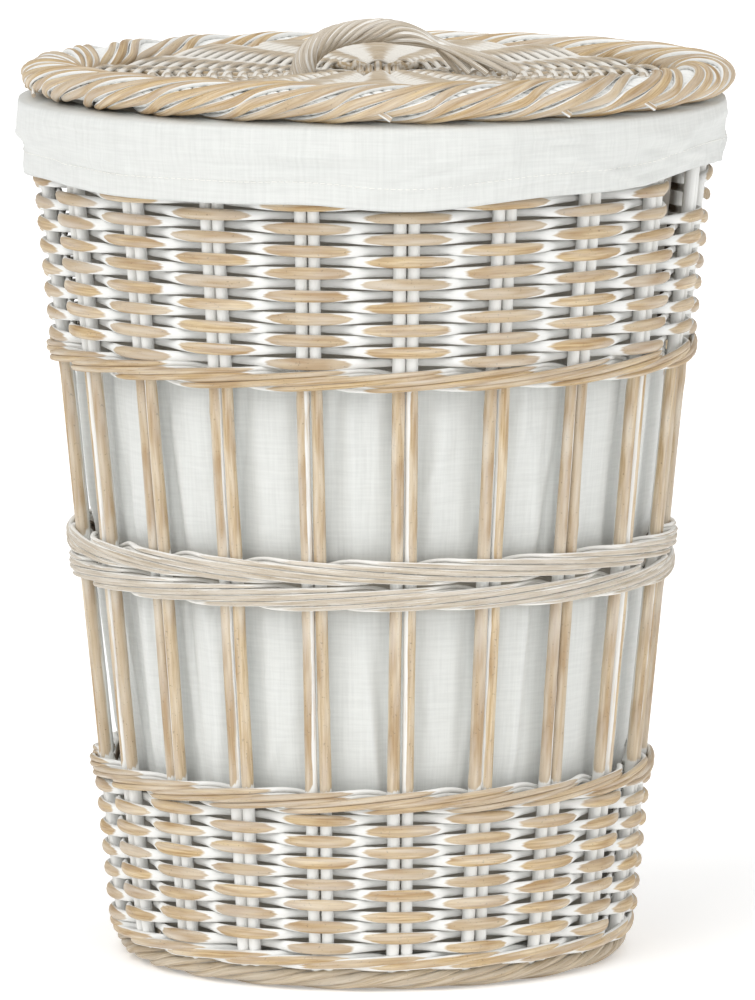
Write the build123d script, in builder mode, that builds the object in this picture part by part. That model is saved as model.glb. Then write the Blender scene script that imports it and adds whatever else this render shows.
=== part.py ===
"""Round woven rattan laundry hamper with a cloth liner and a lift-off lid.

The hamper stands on Z = 0 with its axis on +Z and its front towards -Y. Angles round it run from the
front (-Y) towards +X, in degrees. Lengths are in millimetres.

Twenty-one pairs of straight stakes lean outwards from a foot border to a rim border. Woven rings hold
them: two deep bands of weave, and narrow wales between them. Each ring is a closed ring with the weave's
outer shape, and a slot for every pair of stakes. The liner is a sewn bag whose cuff turns over the rim.
The lid is a woven disc on crossed sticks with a thick border and a twisted handle.
"""

import math
import os

from build123d import *

# ---- driving dimensions ----
stake_count = 21                # pairs of stakes, an odd number, so that a single weaver alternates
first_stake_angle = 6.0         # of pair 1, from the front
stake_radius = 3.9
stake_gap = 0.7                 # between the two stakes of a pair
stake_foot_radius = 159.5       # of the stakes' circle, carried down to Z = 0
stake_slope = 0.0985            # how much that circle grows for each mm of height
stake_bottom, stake_top = 6.0, 541.0
slot_clearance = 0.1            # round a pair of stakes, in the rings

weave_half = 8.3                # half of a woven ring's wall
wale_half = 10.2                # a wale stands out a little more
ring_gap = 0.2                  # between one ring and the next

foot_top = 15.0
bottom_wale_top = 25.0
lower_weave_top = 115.0
lower_wale_top = 130.0
middle_wale_bottom, middle_wale_mid, middle_wale_top = 247.5, 262.0, 276.5
upper_wale_bottom, upper_wale_top = 383.0, 397.5
upper_weave_top = 532.5
rim_top = 548.6
rim_inner_radius, rim_outer_radius = 204.6, 219.6

foot_inner_radius, foot_flat_radius, foot_outer_radius = 139.0, 150.0, 170.0
foot_flat_width = 9.0

window_pairs = (4, 14)          # a hand hole is centred on each of these pairs, counted from 0
window_width = 94.0
window_bottom, window_top = 482.0, 530.0

stick_radius = 2.6
sticks_each_way = 5
stick_pitch = 5.7               # between sticks where they cross
slath_half = 22.0               # half the length of the crossing, where the sticks run side by side
stick_fan = 18.0                # degrees between the sticks beyond it
stick_bend_radius = 30.0

base_bottom, base_top = 5.0, 21.5
base_radius = foot_inner_radius - ring_gap
base_stick_reach = 112.0        # length of a stick beyond the crossing
base_stick_z = (10.4, 16.1)     # lower and upper layer

cloth = 1.2                     # thickness of the liner
liner_gap = 0.9                 # between the bag and the weave
liner_floor = 23.8              # where the bag's side meets its base
cuff_inner_radius = 224.0
hem_inner_radius = 220.8
hem_bottom, hem_top = 497.0, 511.0
cuff_turn = 536.0               # below this the cuff leans in towards the hem
hem_cloth = 1.9                 # the hem is turned, so it is thicker
fold_bottom = 549.3             # underside of the cloth where it lies on the rim

lid_bottom = 551.2
lid_radius = 227.5
lid_border_inner = 186.2
lid_border_top = 572.5
lid_disc_bottom, lid_disc_top = 555.0, 567.4
lid_stick_z = (558.6, 564.4)
lid_stick_reach = 155.0
lid_offset = 4.0                # the loose lid rests this far off the axis, towards +X

handle_radius = 8.5
handle_top = 598.0
handle_left_foot, handle_right_foot = -50.0, 64.0
handle_left_shoulder, handle_right_shoulder = -22.0, 26.0
handle_bend_radius = 24.0
handle_foot_z = 557.0


def stake_circle(height):
    """Radius of the circle of stake centres at a height."""
    return stake_foot_radius + stake_slope * height


def stake_plane(number):
    """Plane square to a pair of stakes at Z = 0, with its x along the hamper's circle."""
    angle = math.radians(first_stake_angle + 360.0 / stake_count * number)
    outward = Vector(math.sin(angle), -math.cos(angle), 0)
    along = Vector(math.cos(angle), math.sin(angle), 0)
    up = (outward * stake_slope + Vector(0, 0, 1)).normalized()
    return Plane(origin=outward * stake_foot_radius, x_dir=along, z_dir=up)


def along_stake(height):
    """Distance along a stake from Z = 0 to a height."""
    return height * math.hypot(1.0, stake_slope)


stake_planes = [stake_plane(number) for number in range(stake_count)]
slot_width = 2 * (stake_radius + slot_clearance)
slot_length = slot_width + 2 * stake_radius + stake_gap


def cut_stake_slots(low, high):
    """Cuts a slot for every pair of stakes, from one height to another, out of the part being built."""
    with BuildSketch(*[plane.offset(along_stake(low)) for plane in stake_planes]) as slots:
        SlotOverall(slot_length, slot_width)
    extrude(slots.sketch, amount=along_stake(high) - along_stake(low), mode=Mode.SUBTRACT)


def ring_section(low, high, half, corner):
    """The section of a ring that follows the stakes' slope, with rounded corners."""
    with BuildSketch(Plane.XZ) as section:
        with BuildLine():
            Polyline(
                (stake_circle(low) - half, low),
                (stake_circle(low) + half, low),
                (stake_circle(high) + half, high),
                (stake_circle(high) - half, high),
                close=True,
            )
        make_face()
        fillet(section.vertices(), corner)
    return section.sketch


def woven_ring(label, low, high, half, corner, windows=()):
    """A closed ring round the stakes, with a slot for each pair and, if asked, hand holes."""
    with BuildPart() as ring:
        revolve(ring_section(low, high - ring_gap, half, corner), axis=Axis.Z)
        cut_stake_slots(low - 5.0, high + 5.0)
        for number in windows:
            plane = stake_planes[number]
            height = window_top - window_bottom
            middle = plane.offset(along_stake(window_bottom))
            with BuildSketch(middle):
                Rectangle(window_width, 4 * half)
            extrude(amount=height, mode=Mode.SUBTRACT)
    ring.part.label = label
    return ring.part


def crossed_sticks(label, centre, reach, turned, radius=stick_radius):
    """Sticks that lie side by side in the middle and fan out beyond it, in one layer."""
    layer = Plane(origin=centre).rotated((0, 0, turned))
    with BuildPart() as sticks:
        for number in range(sticks_each_way):
            step = number - (sticks_each_way - 1) / 2
            side, fan = step * stick_pitch, math.radians(step * stick_fan)
            end_x, end_y = slath_half + reach * math.cos(fan), side + reach * math.sin(fan)
            with BuildLine(layer) as line:
                if step:
                    FilletPolyline(
                        (-end_x, end_y),
                        (-slath_half, side),
                        (slath_half, side),
                        (end_x, end_y),
                        radius=stick_bend_radius,
                    )
                else:
                    Line((-end_x, 0), (end_x, 0))
            with BuildSketch(Plane(origin=line.line @ 0, z_dir=line.line % 0)):
                Circle(radius)
            sweep(path=line.line)
    sticks.part.label = label
    return sticks.part


os.makedirs("parts", exist_ok=True)
parts = []

# ---- base: crossed sticks in two layers, woven round with a disc ----
base_sticks = []
base_channels = []
for layer_name, height, turned in (("lower", base_stick_z[0], 0), ("upper", base_stick_z[1], 90)):
    centre = (0, 0, height)
    base_sticks.append(crossed_sticks(f"base_sticks_{layer_name}", centre, base_stick_reach, turned))
    base_channels.append(
        crossed_sticks("channel", centre, base_stick_reach + 1, turned, stick_radius + slot_clearance)
    )
parts += base_sticks

with BuildPart() as base_weave:
    with BuildSketch(Plane.XY.offset(base_bottom)):
        Circle(base_radius)
    extrude(amount=base_top - base_bottom)
    fillet(base_weave.edges().filter_by(GeomType.CIRCLE), 3.0)
    for channel in base_channels:
        add(channel, mode=Mode.SUBTRACT)
base_weave.part.label = "base_weave"
parts.append(base_weave.part)

# ---- foot border: the rolled ring that the hamper stands on ----
with BuildPart() as foot_border:
    with BuildSketch(Plane.XZ):
        with BuildLine():
            flat_in = foot_flat_radius - foot_flat_width / 2
            flat_out = foot_flat_radius + foot_flat_width / 2
            Line((flat_in, 0), (flat_out, 0))
            ThreePointArc((flat_out, 0), (165.5, 5.0), (foot_outer_radius, foot_top - ring_gap))
            Line((foot_outer_radius, foot_top - ring_gap), (foot_inner_radius, foot_top - ring_gap))
            Line((foot_inner_radius, foot_top - ring_gap), (foot_inner_radius, 6.0))
            ThreePointArc((foot_inner_radius, 6.0), (141.0, 1.8), (flat_in, 0))
        make_face()
    revolve(axis=Axis.Z)
    cut_stake_slots(stake_bottom - slot_clearance, foot_top + 5.0)
foot_border.part.label = "foot_border"
parts.append(foot_border.part)

# ---- side: woven bands and wales round the stakes ----
parts.append(woven_ring("bottom_wale", foot_top, bottom_wale_top, weave_half + 0.6, 3.0))
parts.append(woven_ring("lower_weave", bottom_wale_top, lower_weave_top, weave_half, 2.5))
parts.append(woven_ring("lower_top_wale", lower_weave_top, lower_wale_top, wale_half, 4.0))
parts.append(woven_ring("middle_wale_lower", middle_wale_bottom, middle_wale_mid, wale_half, 4.0))
parts.append(woven_ring("middle_wale_upper", middle_wale_mid, middle_wale_top, wale_half, 4.0))
parts.append(woven_ring("upper_bottom_wale", upper_wale_bottom, upper_wale_top, wale_half, 4.0))
parts.append(
    woven_ring("upper_weave", upper_wale_top, upper_weave_top, weave_half, 2.5, windows=window_pairs)
)

# ---- rim border: closes the side and holds the stakes' ends ----
with BuildPart() as rim_border:
    with BuildSketch(Plane.XZ) as rim_section:
        with BuildLine():
            Polyline(
                (rim_inner_radius - 0.6, upper_weave_top),
                (rim_outer_radius, upper_weave_top),
                (rim_outer_radius, rim_top),
                (rim_inner_radius, rim_top),
                close=True,
            )
        make_face()
        fillet(rim_section.vertices(), 3.0)
    revolve(axis=Axis.Z)
    cut_stake_slots(upper_weave_top - 5.0, stake_top + slot_clearance)
rim_border.part.label = "rim_border"
parts.append(rim_border.part)

# ---- stakes: straight rods in pairs ----
for number, plane in enumerate(stake_planes, start=1):
    with BuildPart() as stake_pair:
        with BuildSketch(plane.offset(along_stake(stake_bottom))):
            with GridLocations(2 * stake_radius + stake_gap, 0, 2, 1):
                Circle(stake_radius)
        extrude(amount=along_stake(stake_top) - along_stake(stake_bottom))
    stake_pair.part.label = f"stake_pair_{number:02d}"
    parts.append(stake_pair.part)


# ---- liner: a bag with a base disc, turned over the rim into a cuff with a turned hem ----
def bag_radius(height):
    """Outer radius of the bag, just inside the wales."""
    return stake_circle(height) - wale_half - liner_gap


bag_top = bag_radius(upper_weave_top)
with BuildPart() as liner_side:
    with BuildSketch(Plane.XZ):
        with BuildLine():
            Polyline(
                (bag_radius(liner_floor), liner_floor),
                (bag_top, upper_weave_top),
                (bag_top, fold_bottom),
                (bag_top - cloth, fold_bottom),
                (bag_top - cloth, upper_weave_top),
                (bag_radius(liner_floor) - cloth, liner_floor),
                close=True,
            )
        make_face()
    revolve(axis=Axis.Z)
liner_side.part.label = "liner_side"
parts.append(liner_side.part)

with BuildPart() as liner_fold:
    with BuildSketch(Plane.XY.offset(fold_bottom)):
        Circle(cuff_inner_radius + cloth)
        Circle(bag_top - cloth, mode=Mode.SUBTRACT)
    extrude(amount=cloth)
liner_fold.part.label = "liner_fold"
parts.append(liner_fold.part)

with BuildPart() as liner_cuff:
    with BuildSketch(Plane.XZ):
        with BuildLine():
            Polyline(
                (cuff_inner_radius, fold_bottom),
                (cuff_inner_radius, cuff_turn),
                (hem_inner_radius, hem_top),
                (hem_inner_radius + cloth, hem_top),
                (cuff_inner_radius + cloth, cuff_turn),
                (cuff_inner_radius + cloth, fold_bottom),
                close=True,
            )
        make_face()
    revolve(axis=Axis.Z)
liner_cuff.part.label = "liner_cuff"
parts.append(liner_cuff.part)

with BuildPart() as liner_base:
    with BuildSketch(Plane.XY.offset(liner_floor - cloth)):
        Circle(bag_radius(liner_floor))
    extrude(amount=cloth)
liner_base.part.label = "liner_base"
parts.append(liner_base.part)

with BuildPart() as liner_hem:
    with BuildSketch(Plane.XZ):
        with Locations((hem_inner_radius + hem_cloth / 2, (hem_bottom + hem_top) / 2)):
            Rectangle(hem_cloth, hem_top - hem_bottom)
    revolve(axis=Axis.Z)
liner_hem.part.label = "liner_hem"
parts.append(liner_hem.part)

# ---- lid: crossed sticks, a woven disc, a border and a twisted handle ----
lid_axis = Axis((lid_offset, 0, 0), (0, 0, 1))
lid_channels = []
for layer_name, height, turned in (("lower", lid_stick_z[0], 0), ("upper", lid_stick_z[1], 90)):
    centre = (lid_offset, 0, height)
    parts.append(crossed_sticks(f"lid_sticks_{layer_name}", centre, lid_stick_reach, turned))
    lid_channels.append(
        crossed_sticks("channel", centre, lid_stick_reach + 1, turned, stick_radius + slot_clearance)
    )


def handle_bar(radius):
    """A round bar bent into a low arch, standing in the lid."""
    shoulder_z = handle_top - handle_radius
    with BuildPart() as bar:
        with BuildLine(Plane.XZ) as arch:
            FilletPolyline(
                (handle_left_foot, handle_foot_z),
                (handle_left_shoulder, shoulder_z),
                (handle_right_shoulder, shoulder_z),
                (handle_right_foot, handle_foot_z),
                radius=handle_bend_radius,
            )
        with BuildSketch(Plane(origin=arch.line @ 0, z_dir=arch.line % 0)):
            Circle(radius)
        sweep(path=arch.line)
    return bar.part


with BuildPart() as lid_handle:
    add(handle_bar(handle_radius))
    for channel in lid_channels:
        add(channel, mode=Mode.SUBTRACT)
lid_handle.part.label = "lid_handle"
parts.append(lid_handle.part)

with BuildPart() as lid_weave:
    with BuildSketch(Plane(origin=(lid_offset, 0, lid_disc_bottom))):
        Circle(lid_border_inner - ring_gap)
    extrude(amount=lid_disc_top - lid_disc_bottom)
    for channel in lid_channels:
        add(channel, mode=Mode.SUBTRACT)
    add(handle_bar(handle_radius + slot_clearance), mode=Mode.SUBTRACT)
lid_weave.part.label = "lid_weave"
parts.append(lid_weave.part)

with BuildPart() as lid_border:
    with BuildSketch(Plane(origin=(lid_offset, 0, 0), x_dir=(1, 0, 0), z_dir=(0, -1, 0))) as border_section:
        with BuildLine():
            Polyline(
                (lid_border_inner, lid_bottom),
                (lid_radius, lid_bottom),
                (lid_radius, lid_border_top - 3.0),
                (lid_radius - 12.0, lid_border_top),
                (lid_border_inner + 10.0, lid_border_top),
                (lid_border_inner, lid_border_top - 4.0),
                close=True,
            )
        make_face()
        fillet(border_section.vertices(), 3.0)
    revolve(axis=lid_axis)
lid_border.part.label = "lid_border"
parts.append(lid_border.part)

for piece in parts:
    export_step(piece, f"parts/{piece.label}.step")
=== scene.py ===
"""Visual model of a round woven rattan laundry hamper with a cotton liner and a lift-off lid.

Every strand of the weave is a rod of its own that runs over and under the stakes. The liner is one sheet
of thin cotton with a turned-over cuff. Lengths are in metres, and angles round the hamper run from the
front (-Y) towards +X.
"""

import logging
import math
import random
from dataclasses import dataclass
from enum import Enum
from typing import Callable, Sequence

import bmesh
import bpy
import numpy as np
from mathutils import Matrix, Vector


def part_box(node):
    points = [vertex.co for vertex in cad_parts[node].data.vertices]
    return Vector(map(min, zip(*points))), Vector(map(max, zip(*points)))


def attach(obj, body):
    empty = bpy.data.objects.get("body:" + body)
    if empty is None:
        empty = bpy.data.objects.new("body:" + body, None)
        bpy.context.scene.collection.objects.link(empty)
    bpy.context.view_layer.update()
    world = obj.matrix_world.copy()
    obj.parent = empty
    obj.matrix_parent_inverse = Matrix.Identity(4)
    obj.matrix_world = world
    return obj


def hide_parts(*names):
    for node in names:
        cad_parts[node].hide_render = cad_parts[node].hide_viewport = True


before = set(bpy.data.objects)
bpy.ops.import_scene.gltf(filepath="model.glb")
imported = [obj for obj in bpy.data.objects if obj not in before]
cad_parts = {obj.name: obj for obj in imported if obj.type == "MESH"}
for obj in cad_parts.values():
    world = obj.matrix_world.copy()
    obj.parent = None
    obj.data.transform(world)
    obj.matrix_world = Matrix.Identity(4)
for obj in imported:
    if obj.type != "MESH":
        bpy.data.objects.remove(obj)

log = logging.getLogger("hamper")
MM = 0.001
TURN = 2.0 * math.pi

Material = bpy.types.Material
Measure = Callable[[np.ndarray], np.ndarray]
Span = tuple[float, float]


# ---------------------------------------------------------------- small tools


def smooth(low: float, high: float, value: np.ndarray) -> np.ndarray:
    """Goes smoothly from 0 at low to 1 at high, where low may be the larger one."""
    t = np.clip((value - low) / (high - low), 0.0, 1.0)
    return t * t * (3.0 - 2.0 * t)


def around(radius: np.ndarray, angle: np.ndarray, height: np.ndarray) -> np.ndarray:
    """Turns radius, angle from the front and height into points, one row each."""
    radius, angle, height = np.broadcast_arrays(radius, angle, height)
    return np.stack([radius * np.sin(angle), -radius * np.cos(angle), height], axis=1)


def wander(count: int, step: float, seed: int) -> np.ndarray:
    """A slow random curve between about -1 and 1.

    Args:
        count: Number of values.
        step: How many values pass between two of its turning points.
        seed: Seed of the random numbers.

    Returns:
        The values, in order.
    """
    knots = np.random.default_rng(seed).uniform(-1.0, 1.0, int(count / step) + 4)
    places = np.linspace(0.0, len(knots) - 1.0, count)
    left = np.floor(places).astype(int).clip(0, len(knots) - 2)
    t = smooth(0.0, 1.0, places - left)
    return knots[left] * (1.0 - t) + knots[left + 1] * t


def link(piece: bpy.types.Object) -> bpy.types.Object:
    """Puts an object into the scene and returns it."""
    bpy.context.collection.objects.link(piece)
    return piece


def linear(hex_colour: str) -> tuple[float, float, float, float]:
    """Turns an sRGB hex colour such as "#EDEBE8" into linear red, green, blue and alpha."""
    values = [int(hex_colour[i:i + 2], 16) / 255.0 for i in (1, 3, 5)]
    return (*(v / 12.92 if v <= 0.04045 else ((v + 0.055) / 1.055) ** 2.4 for v in values), 1.0)


# ---------------------------------------------------------------- the hamper's driving sizes


@dataclass(frozen=True)
class Shape:
    """Where the stakes stand, and how far the woven rings reach."""

    pairs: int = 21
    first_angle: float = math.radians(6.0)
    foot_radius: float = 159.5 * MM
    slope: float = 0.0985
    rod_radius: float = 3.9 * MM
    rod_spacing: float = 8.5 * MM
    window_pairs: tuple[int, int] = (4, 14)
    window_bottom: float = 482.0 * MM
    lid_offset: float = 4.0 * MM

    def circle(self, height: np.ndarray | float) -> np.ndarray | float:
        """Radius of the circle of stakes at a height."""
        return self.foot_radius + self.slope * height

    @property
    def step(self) -> float:
        """Angle between two pairs of stakes."""
        return TURN / self.pairs

    def angle(self, pair: float) -> float:
        """Angle of a pair of stakes, counted from 0."""
        return self.first_angle + self.step * pair


SHAPE = Shape()
LID_LOOPS = 23


class Way(Enum):
    """Which way the strands of a wale or border rise, seen from outside."""

    RIGHT = 1
    LEFT = -1


# ---------------------------------------------------------------- materials


class Shader:
    """A new node material with one Principled shader."""

    def __init__(self, name: str) -> None:
        """Makes the material.

        Args:
            name: The material's name, which says what it is.
        """
        self.material = bpy.data.materials.new(name)
        self.material.use_nodes = True
        self.tree = self.material.node_tree
        self.tree.nodes.clear()
        self.surface = self.add("BsdfPrincipled")
        self.add("OutputMaterial", Surface=self.surface)

    def add(self, kind: str, settings: dict[str, object] | None = None, **inputs: object) -> bpy.types.Node:
        """Adds a node.

        Args:
            kind: The node's type name, without its prefix.
            settings: Values of the node's own properties.
            **inputs: Value or source of each input by name, with underscores for spaces. A number such
                as _0 names an input by its place. A source is a node, for its first output, or a socket.

        Returns:
            The new node.
        """
        node = self.tree.nodes.new("ShaderNode" + kind)
        for key, value in (settings or {}).items():
            setattr(node, key, value)
        for key, value in inputs.items():
            place = int(key[1:]) if key[0] == "_" else key.replace("_", " ")
            self.feed(node.inputs[place], value)
        return node

    def feed(self, socket: bpy.types.NodeSocket, value: object) -> None:
        """Links a node or an output socket to an input, or sets the input's value.

        Args:
            socket: The input.
            value: A node, for its first output, an output socket, or the value itself.
        """
        if isinstance(value, bpy.types.Node):
            self.tree.links.new(value.outputs[0], socket)
        elif isinstance(value, bpy.types.NodeSocket):
            self.tree.links.new(value, socket)
        else:
            socket.default_value = value


@dataclass(frozen=True)
class WashedRattan:
    """Rattan rod under a thin white wash, wiped off where the rod stands proud.

    The bare cane is tan with fine grain along the rod. The wash stays in the recesses, chalky and matt,
    and in thin streaks along the grain. The innermost sides, facing into the hamper, are painted dark
    brown as shade.
    """

    name: str
    cane_light: str = "#DAC398"
    cane_dark: str = "#AA8859"
    cane_grey: str = "#BCAB93"
    cane_deep: str = "#9C7A50"
    wash: str = "#EFEFEC"
    # dark brown of raw cane, for the small specks, and as painted shade on the innermost sides
    raw_cane_and_painted_shade: str = "#5A4C3A"
    wiped_from: float = 0.34
    wiped_to: float = 0.49
    streak_wash: float = 0.3
    edge_wash: float = 0.27
    grain_mm: float = 1.1
    patch_mm: float = 42.0
    specks_per_metre: float = 700.0
    roughness: float = 0.52

    def make(self) -> Material:
        """Builds the material.

        Returns:
            The material. It reads the UV map, whose u is the length along the rod in metres and whose v
            goes once round it, and the attributes bare and tone.
        """
        s = Shader(self.name)
        parts = s.add("SeparateXYZ", _0=s.add("UVMap", {"uv_map": "UVMap"}))
        turn = s.add("Math", {"operation": "MULTIPLY"}, _0=parts.outputs[1], _1=TURN)
        side = s.add("Math", {"operation": "COSINE"}, _0=turn)
        front = s.add("Math", {"operation": "SINE"}, _0=turn)
        # the rod is about 3 mm in radius, so one unit across is 3 mm and one unit along is a metre
        rod = s.add("CombineXYZ", X=parts.outputs[0], Y=side, Z=front)
        across = 3.0 / self.grain_mm
        noises = []
        for along, over, detail, roughness in (
            (1.0 / (self.grain_mm * 26.0 * MM), across, 3.0, 0.6),
            (1.0 / (self.patch_mm * MM), 0.8, 2.0, 0.5),
            (1.0 / (self.patch_mm * 0.7 * MM), 0.6, 1.0, 0.5),
            (self.specks_per_metre, 2.6, 2.0, 0.5),
        ):
            place = s.add("VectorMath", {"operation": "MULTIPLY"}, _0=rod, _1=(along, over, over))
            noises.append(s.add("TexNoise", Vector=place, Scale=1.0, Detail=detail, Roughness=roughness))
        grain, patch, skin, specks = noises
        bare = s.add("Attribute", {"attribute_name": "bare"}).outputs["Fac"]
        tone = s.add("Attribute", {"attribute_name": "tone"}).outputs["Fac"]

        # where the wash is wiped off: proud of the weave, broken up by grain and by slow patches
        streak = self.streak_wash
        grain_push = s.add("Math", {"operation": "MULTIPLY_ADD"}, _0=grain, _1=streak, _2=-streak / 2.0)
        patch_push = s.add("Math", {"operation": "MULTIPLY_ADD"}, _0=patch, _1=0.62, _2=-0.31)
        push = s.add("Math", {"operation": "ADD"}, _0=grain_push, _1=patch_push)
        # more wash is left along the upper and lower edge of a rod than on its face
        edge = s.add("Math", {"operation": "MULTIPLY"}, _0=front, _1=front)
        face = s.add("Math", {"operation": "MULTIPLY_ADD"}, _0=edge, _1=-self.edge_wash, _2=bare)
        proud = s.add("Math", {"operation": "ADD"}, _0=face, _1=push)

        # ramps from 0 up to a largest value, some with soft ends: the wiped places, light and dark grain,
        # browner stretches and small dark specks where the cane's skin is left, a thin veil of wash on
        # the bare cane, and the sides clear of the painted shade on the innermost sides
        ramps = []
        for value, low, high, top, ends in (
            (proud, self.wiped_from, self.wiped_to, 1.0, "SMOOTHSTEP"),
            (grain, 0.34, 0.66, 1.0, "LINEAR"),
            (skin, 0.45, 0.70, 0.55, "LINEAR"),
            (specks, 0.64, 0.76, 0.55, "SMOOTHSTEP"),
            (patch, 0.40, 0.75, 0.36, "LINEAR"),
            (bare, -0.70, -0.50, 1.0, "SMOOTHSTEP"),
        ):
            ramps.append(s.add(
                "MapRange", {"interpolation_type": ends}, Value=value, From_Min=low, From_Max=high, To_Max=top
            ))
        wiped, light, brown, speck, veil, clear_of_painted_shade = ramps
        greyed = s.add("Math", {"operation": "MULTIPLY"}, _0=tone, _1=0.75)
        colour = linear(self.cane_dark)
        for amount, layer in (
            (light, self.cane_light), (greyed, self.cane_grey), (brown, self.cane_deep), (speck, self.raw_cane_and_painted_shade),
            (veil, self.wash),
        ):
            colour = s.add("Mix", {"data_type": "RGBA"}, _0=amount, _6=colour, _7=linear(layer)).outputs[2]
        # the innermost sides, facing into the hamper, take the dark brown as painted shade
        for amount, under in ((wiped, self.wash), (clear_of_painted_shade, self.raw_cane_and_painted_shade)):
            colour = s.add("Mix", {"data_type": "RGBA"}, _0=amount, _6=linear(under), _7=colour).outputs[2]
        s.feed(s.surface.inputs["Base Color"], colour)
        shine = s.add("MapRange", Value=wiped, To_Min=0.82, To_Max=self.roughness)
        s.feed(s.surface.inputs["Roughness"], shine)
        s.feed(s.surface.inputs["Normal"], s.add("Bump", Height=grain, Strength=0.55, Distance=0.5 * MM))
        s.surface.inputs["IOR"].default_value = 1.5
        return s.material


@dataclass(frozen=True)
class WashedStick:
    """Straight rattan stick under the same thin white wash, tan in long streaks along its length."""

    name: str
    stretch: tuple[float, float, float]
    wash: str = "#DEDCD6"
    cane: str = "#BBA27D"

    def make(self) -> Material:
        """Builds the material.

        Returns:
            The material. It reads Object coordinates.
        """
        s = Shader(self.name)
        place = s.add("TexCoord").outputs["Object"]
        streak_place = s.add("VectorMath", {"operation": "MULTIPLY"}, _0=place, _1=self.stretch)
        streak = s.add("TexNoise", Vector=streak_place, Scale=1.0, Detail=3.0)
        wiped = s.add(
            "MapRange", {"interpolation_type": "SMOOTHSTEP"}, Value=streak, From_Min=0.42, From_Max=0.60
        )
        colour = s.add("Mix", {"data_type": "RGBA"}, _0=wiped, _6=linear(self.wash), _7=linear(self.cane))
        s.feed(s.surface.inputs["Base Color"], colour.outputs[2])
        s.feed(s.surface.inputs["Normal"], s.add("Bump", Height=streak, Strength=0.4, Distance=0.4 * MM))
        s.surface.inputs["Roughness"].default_value = 0.68
        return s.material


@dataclass(frozen=True)
class NaturalCotton:
    """Plain-weave natural cotton, thin and soft, with slubs that run down the cloth.

    The weave is matt with a faint fuzz that catches light at grazing angles. Its threads are 0.5 mm
    apart, drawn at 1.4 mm so that they show. Where the weave covers the bag, painted shade darkens the
    cloth's colour, which keeps the gaps between the rods dark.
    """

    name: str
    colour: str = "#E1E3E0"
    shade: str = "#D8DAD7"
    # colour of the painted shade that darkens the cloth behind the weave
    painted_shade: str = "#ABA498"
    thread_mm: float = 1.4

    def make(self) -> Material:
        """Builds the material.

        Returns:
            The material. It reads the UV map, in metres on the flat cloth, and an attribute that is 1
            where painted shade darkens the cloth behind the weave.
        """
        s = Shader(self.name)
        uv = s.add("UVMap", {"uv_map": "UVMap"})
        pitch = TURN / (self.thread_mm * MM)
        parts = s.add("SeparateXYZ", _0=uv)
        waves = []
        for axis in (0, 1):
            phase = s.add("Math", {"operation": "MULTIPLY"}, _0=parts.outputs[axis], _1=pitch)
            waves.append(s.add("Math", {"operation": "SINE"}, _0=phase))
        weave = s.add("Math", {"operation": "MULTIPLY"}, _0=waves[0], _1=waves[1])
        slubs = []
        for stretch in ((520.0, 26.0, 1.0), (30.0, 480.0, 1.0)):
            place = s.add("VectorMath", {"operation": "MULTIPLY"}, _0=uv, _1=stretch)
            slubs.append(s.add("TexNoise", Vector=place, Scale=1.0, Detail=2.0, Roughness=0.6))
        threads = s.add("Math", {"operation": "ADD"}, _0=slubs[0], _1=slubs[1])
        tint = s.add("MapRange", Value=threads, From_Min=0.75, From_Max=1.2)
        # painted shade: the cloth's colour darkens towards this where it lies behind the weave
        painted_shade = s.add("Attribute", {"attribute_name": "painted_shade"}).outputs["Fac"]
        colour = linear(self.shade)
        for amount, layer in ((tint, self.colour), (painted_shade, self.painted_shade)):
            colour = s.add("Mix", {"data_type": "RGBA"}, _0=amount, _6=colour, _7=linear(layer)).outputs[2]
        s.feed(s.surface.inputs["Base Color"], colour)
        height = s.add("Math", {"operation": "MULTIPLY_ADD"}, _0=weave, _1=0.35, _2=threads)
        bump = s.add("Bump", Height=height, Strength=0.22, Distance=0.3 * MM)
        s.feed(s.surface.inputs["Normal"], bump)
        s.surface.inputs["Roughness"].default_value = 0.92
        s.surface.inputs["Sheen Weight"].default_value = 0.25
        s.surface.inputs["Sheen Roughness"].default_value = 0.6
        s.surface.inputs["IOR"].default_value = 1.5
        return s.material


@dataclass(frozen=True)
class CottonThread:
    """Twisted cotton sewing thread, as pale as the cloth, with its ply as a fine bump."""

    name: str
    colour: str = "#F0EFEA"

    def make(self) -> Material:
        """Builds the material.

        Returns:
            The material. It reads Object coordinates.
        """
        s = Shader(self.name)
        place = s.add("TexCoord").outputs["Object"]
        ply = s.add("TexNoise", Vector=place, Scale=1800.0, Detail=1.0)
        s.feed(s.surface.inputs["Base Color"], linear(self.colour))
        s.feed(s.surface.inputs["Normal"], s.add("Bump", Height=ply, Strength=0.4, Distance=0.2 * MM))
        s.surface.inputs["Roughness"].default_value = 0.85
        return s.material


# ---------------------------------------------------------------- strands


@dataclass
class Strand:
    """One rod of rattan on its way through the weave.

    Attributes:
        points: Its centre line, one row a point.
        swell: Its thickness at each point, as a share of its section.
        tilt: How far its section is turned about its length at each point.
        tone: How grey it is, from 0 to 1.
    """

    points: np.ndarray
    swell: np.ndarray | float = 1.0
    tilt: np.ndarray | float = 0.0
    tone: float = 0.5

    @property
    def length(self) -> float:
        """Length of the centre line."""
        return float(np.linalg.norm(np.diff(self.points, axis=0), axis=1).sum())


@dataclass(frozen=True)
class Section:
    """Flattened round section of a rod: half its depth into the wall, and half its height."""

    depth: float
    height: float
    sides: int = 8

    def curve(self) -> bpy.types.Object:
        """Draws the section for the rods to follow.

        Returns:
            A closed flat curve.
        """
        data = bpy.data.curves.new("section", "CURVE")
        data.dimensions = "2D"
        line = data.splines.new("POLY")
        line.points.add(self.sides - 1)
        line.use_cyclic_u = True
        for number, point in enumerate(line.points):
            turn = TURN * number / self.sides
            point.co = (self.depth * math.cos(turn), self.height * math.sin(turn), 0.0, 1.0)
        return link(bpy.data.objects.new("section", data))


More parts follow.
